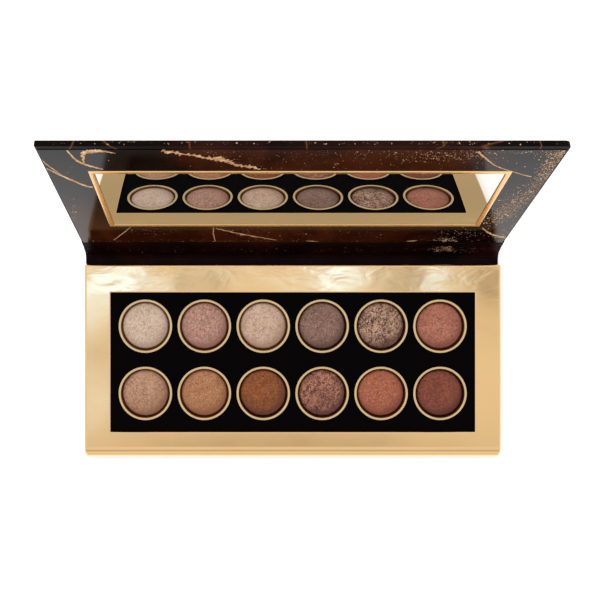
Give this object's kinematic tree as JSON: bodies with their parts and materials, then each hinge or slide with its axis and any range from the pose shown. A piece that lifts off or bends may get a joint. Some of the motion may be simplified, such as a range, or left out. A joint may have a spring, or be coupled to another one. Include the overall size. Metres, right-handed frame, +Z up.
{
  "type": "eyeshadow palette",
  "caption": "Book-style eyeshadow palette, folded open: mirror set in a marbled lid on a creased spine, gold-foil tray with two rows of round domed baked powders.",
  "frame": {"origin": "centre of the tray's footprint on the cover's underside, the face that the palette rests on", "axes": "+X along the hinge, towards the right when looking at the mirror; +Y from the front edge towards the hinge; +Z up"},
  "size_m": [0.2018, 0.1463, 0.1036],
  "materials": {
    "printed_wrap": "satin laminated paper, dark marble print",
    "gloss_lining": "gloss laminated paper, dark marble print with gold veins",
    "greyboard": "matte",
    "gold_foil_card": "mirror-gloss pale gold foil",
    "black_card": "matte black",
    "magnet": "nickel plated",
    "adhesive": "matte",
    "mirror": "silvered glass",
    "gold_strip": "gloss gold foil",
    "gold_pan": "satin pale gold",
    "powder_ivory": "baked shimmer powder",
    "powder_dusty_rose": "baked shimmer powder",
    "powder_pale_peach": "baked shimmer powder",
    "powder_taupe": "baked shimmer powder",
    "powder_champagne_swirl": "baked shimmer powder",
    "powder_copper_rose": "baked shimmer powder",
    "powder_rosy_tan": "baked shimmer powder",
    "powder_golden_tan": "baked shimmer powder",
    "powder_bronze": "baked shimmer powder",
    "powder_mauve_swirl": "baked shimmer powder",
    "powder_terracotta": "baked shimmer powder",
    "powder_chestnut": "baked shimmer powder"
  },
  "bodies": {
    "base": {"bottom_cover_wrap": "printed_wrap", "bottom_cover_board": "greyboard", "bottom_cover_liner": "gloss_lining", "tray_shell": "gold_foil_card", "tray_floor": "greyboard", "pan_bed": "black_card", "pan_platform": "black_card", "tray_magnets": "magnet", "lower_hinge_crease": "printed_wrap", "pan_01": "gold_pan", "pan_02": "gold_pan", "pan_03": "gold_pan", "pan_04": "gold_pan", "pan_05": "gold_pan", "pan_06": "gold_pan", "pan_07": "gold_pan", "pan_08": "gold_pan", "pan_09": "gold_pan", "pan_10": "gold_pan", "pan_11": "gold_pan", "pan_12": "gold_pan", "powder_01": "powder_ivory", "powder_02": "powder_dusty_rose", "powder_03": "powder_pale_peach", "powder_04": "powder_taupe", "powder_05": "powder_champagne_swirl", "powder_06": "powder_copper_rose", "powder_07": "powder_rosy_tan", "powder_08": "powder_golden_tan", "powder_09": "powder_bronze", "powder_10": "powder_mauve_swirl", "powder_11": "powder_terracotta", "powder_12": "powder_chestnut"},
    "spine": {"spine_wrap": "printed_wrap", "spine_board": "greyboard", "spine_lining": "gloss_lining", "upper_hinge_crease": "printed_wrap"},
    "lid": {"lid_wrap": "printed_wrap", "lid_board": "greyboard", "lid_filler_card": "greyboard", "lid_lining": "gloss_lining", "lid_magnets": "magnet", "mirror_adhesive": "adhesive", "mirror_glass": "mirror", "mirror_gold_strip": "gold_strip"}
  },
  "joints": [
    {"name": "spine_fold", "type": "hinge", "parent": "base", "child": "spine", "pos_m": [0, 0.0517, 0.0014], "axis": [1, 0, 0], "range_deg": [-57, 33]},
    {"name": "lid_fold", "type": "hinge", "parent": "spine", "child": "lid", "pos_m": [0, 0.05821, 0.01142], "axis": [1, 0, 0], "range_deg": [-10, 80]}
  ]
}
